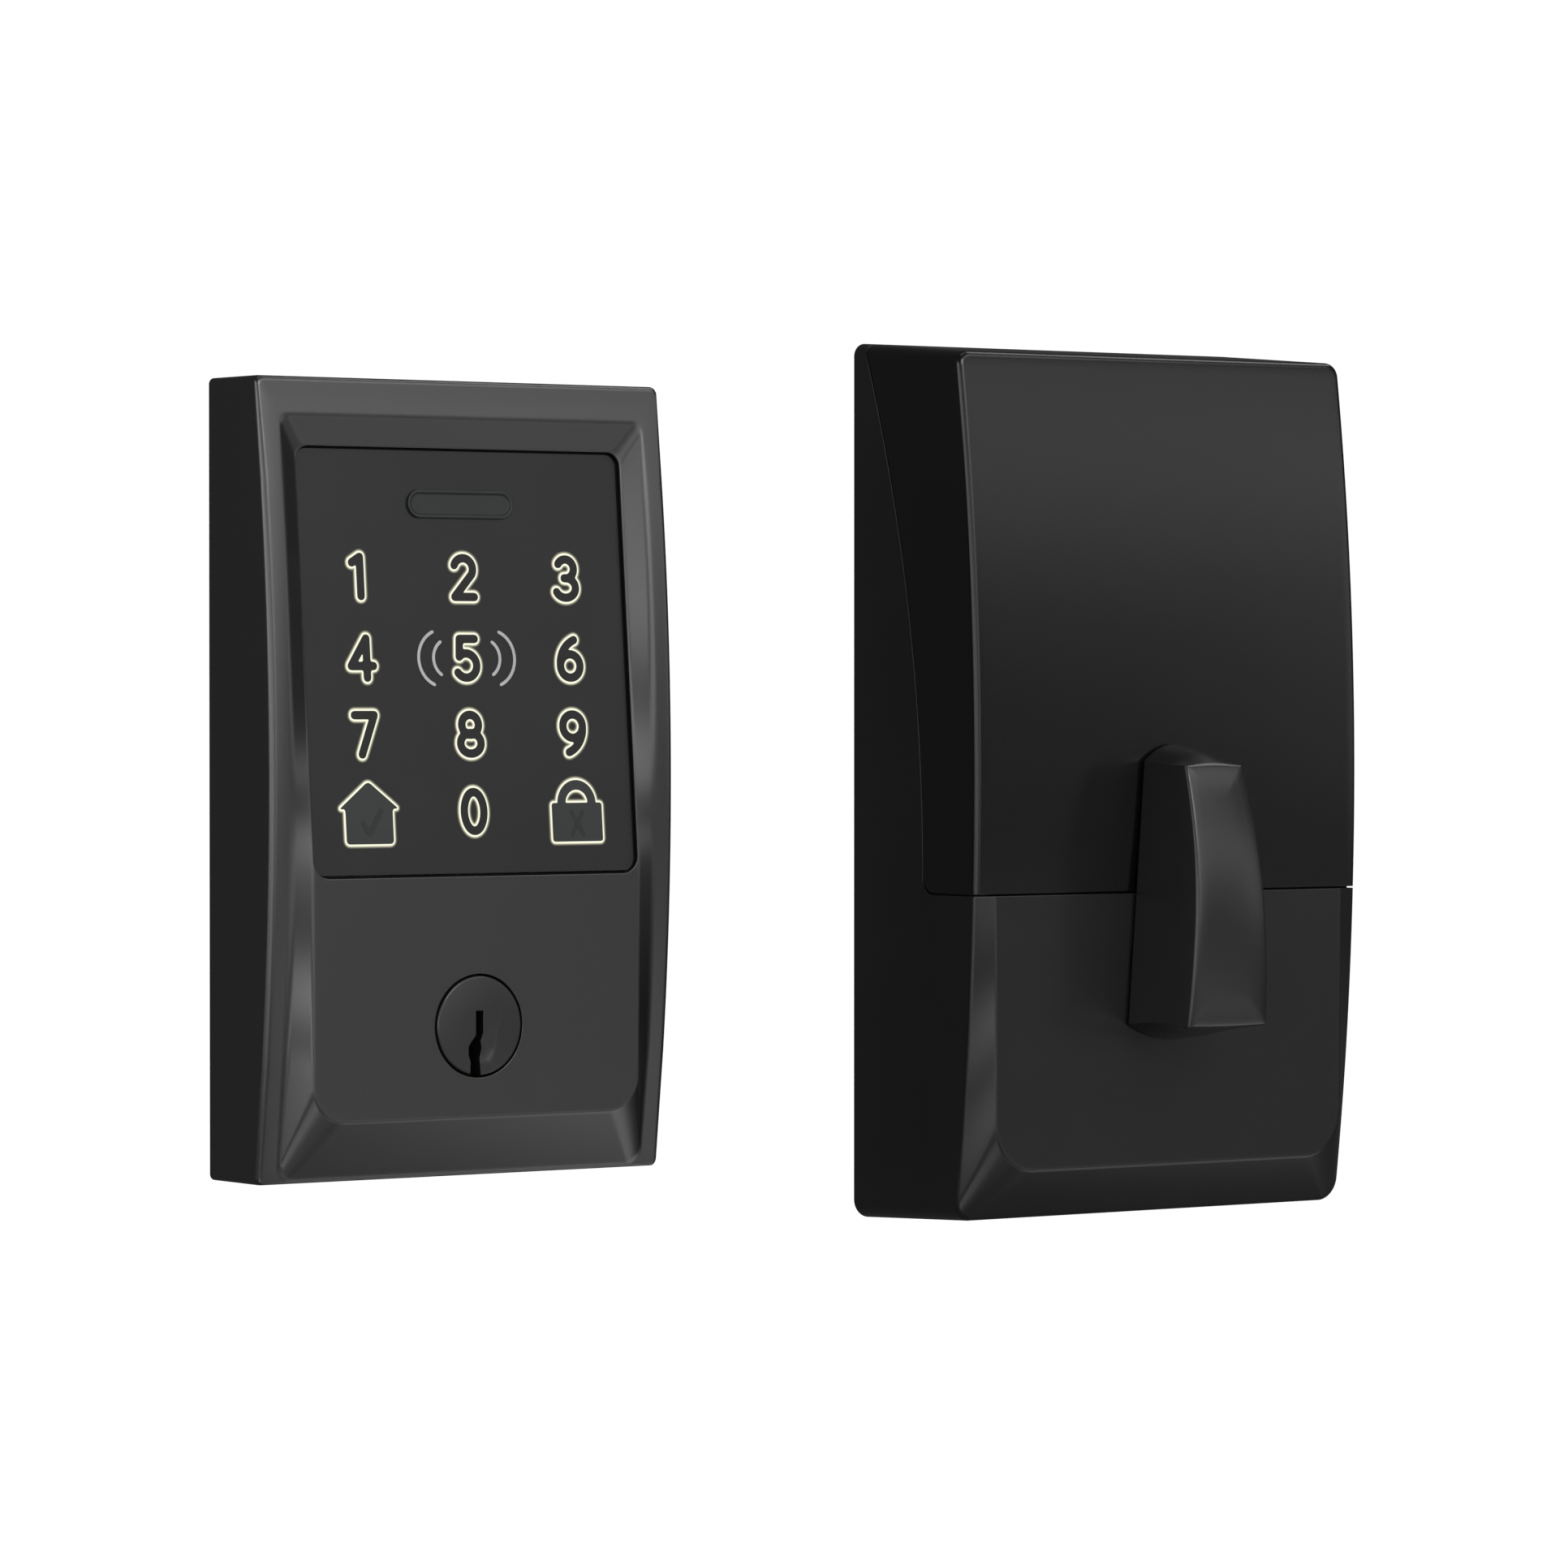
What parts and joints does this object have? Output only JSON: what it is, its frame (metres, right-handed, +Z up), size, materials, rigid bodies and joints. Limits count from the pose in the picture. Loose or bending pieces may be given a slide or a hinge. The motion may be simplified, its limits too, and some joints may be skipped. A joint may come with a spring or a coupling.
{
  "type": "keypad smart lock",
  "caption": "Motorised deadbolt lock: exterior touch keypad unit with key cylinder, and interior unit with battery cover, gear drive and lever thumbturn.",
  "frame": {"origin": "centre of the exterior unit's door side, on the door plane", "axes": "+Y into the door, away from the face of both units; +Z up; +X towards the interior unit, which is shown beside the exterior one on the same plane"},
  "size_m": [0.2087, 0.0961, 0.148],
  "materials": {
    "matte_black_case": "matte powder coat",
    "touch_panel_black": "satin black panel",
    "black_plug": "satin black plating",
    "black_plastic": "matte",
    "brass": "machined",
    "steel": "brushed",
    "zinc_plate": "zinc plated",
    "nickel_contact": "nickel plated",
    "black_rubber": "matte",
    "light_guide_clear": "clear acrylic",
    "circuit_board_green": "solder mask",
    "white_nylon": "moulded",
    "battery_sleeve": "printed sleeve",
    "digit_glow": "lit outline"
  },
  "bodies": {
    "lock_base": {"back_plate_screw_1": "steel", "back_plate_screw_2": "steel", "back_plate_screw_3": "steel", "back_plate_screw_4": "steel", "badge_bar": "matte_black_case", "battery_1": "battery_sleeve", "battery_2": "battery_sleeve", "battery_3": "battery_sleeve", "battery_4": "battery_sleeve", "battery_contact_1": "nickel_contact", "battery_contact_2": "nickel_contact", "battery_contact_3": "nickel_contact", "battery_contact_4": "nickel_contact", "battery_spring_1": "nickel_contact", "battery_spring_2": "nickel_contact", "battery_spring_3": "nickel_contact", "battery_spring_4": "nickel_contact", "battery_tray": "black_plastic", "board_connector": "white_nylon", "bolt_post_left": "steel", "bolt_post_right": "steel", "control_circuit_board": "circuit_board_green", "cylinder_housing": "brass", "exterior_back_plate": "zinc_plate", "exterior_door_gasket": "black_rubber", "exterior_escutcheon": "matte_black_case", "gear_motor": "steel", "gear_plate": "zinc_plate", "gear_plate_screw_1": "steel", "gear_plate_screw_2": "steel", "gear_plate_screw_3": "steel", "housing_screw_left": "steel", "housing_screw_right": "steel", "interior_housing": "matte_black_case", "interior_support_plate": "zinc_plate", "keypad_circuit_board": "circuit_board_green", "keypad_connector": "white_nylon", "keypad_gasket": "black_rubber", "keypad_light_guide": "light_guide_clear", "position_switch": "black_plastic", "program_switch": "black_plastic", "sounder": "black_plastic", "spindle_bushing": "white_nylon", "touch_panel": "touch_panel_black"},
    "key_plug_body": {"key_plug": "black_plug", "plug_retaining_clip": "steel", "tailpiece": "steel"},
    "thumbturn_body": {"thumbturn": "matte_black_case", "thumbturn_collar": "matte_black_case", "thumbturn_spindle": "steel", "spindle_gear": "white_nylon", "spindle_clip": "steel"},
    "pinion_body": {"motor_pinion": "brass", "motor_shaft": "steel"},
    "battery_cover_body": {"battery_cover": "matte_black_case"},
    "program_button_body": {"program_button": "black_rubber"}
  },
  "joints": [
    {"name": "key_turn", "type": "hinge", "parent": "lock_base", "child": "key_plug_body", "pos_m": [0, 0, -0.0393], "axis": [0, 1, 0], "range_deg": [-90, 90]},
    {"name": "thumbturn_turn", "type": "hinge", "parent": "lock_base", "child": "thumbturn_body", "pos_m": [0.12946, 0, -0.03187], "axis": [0, 1, 0], "range_deg": [-90, 90]},
    {"name": "pinion_spin", "type": "hinge", "parent": "lock_base", "child": "pinion_body", "pos_m": [0.1436, 0, -0.04601], "axis": [0, 1, 0], "range_deg": [-270, 270]},
    {"name": "battery_cover_slide", "type": "slide", "parent": "lock_base", "child": "battery_cover_body", "axis": [0, 0, 1], "range_m": [0, 0.095]},
    {"name": "program_button_press", "type": "slide", "parent": "lock_base", "child": "program_button_body", "axis": [0, 1, 0], "range_m": [0, 0.0008], "stiffness_N_per_m": 400}
  ],
  "couplings": [
    {"joint": "pinion_spin", "follows": "thumbturn_turn", "ratio": -3}
  ]
}
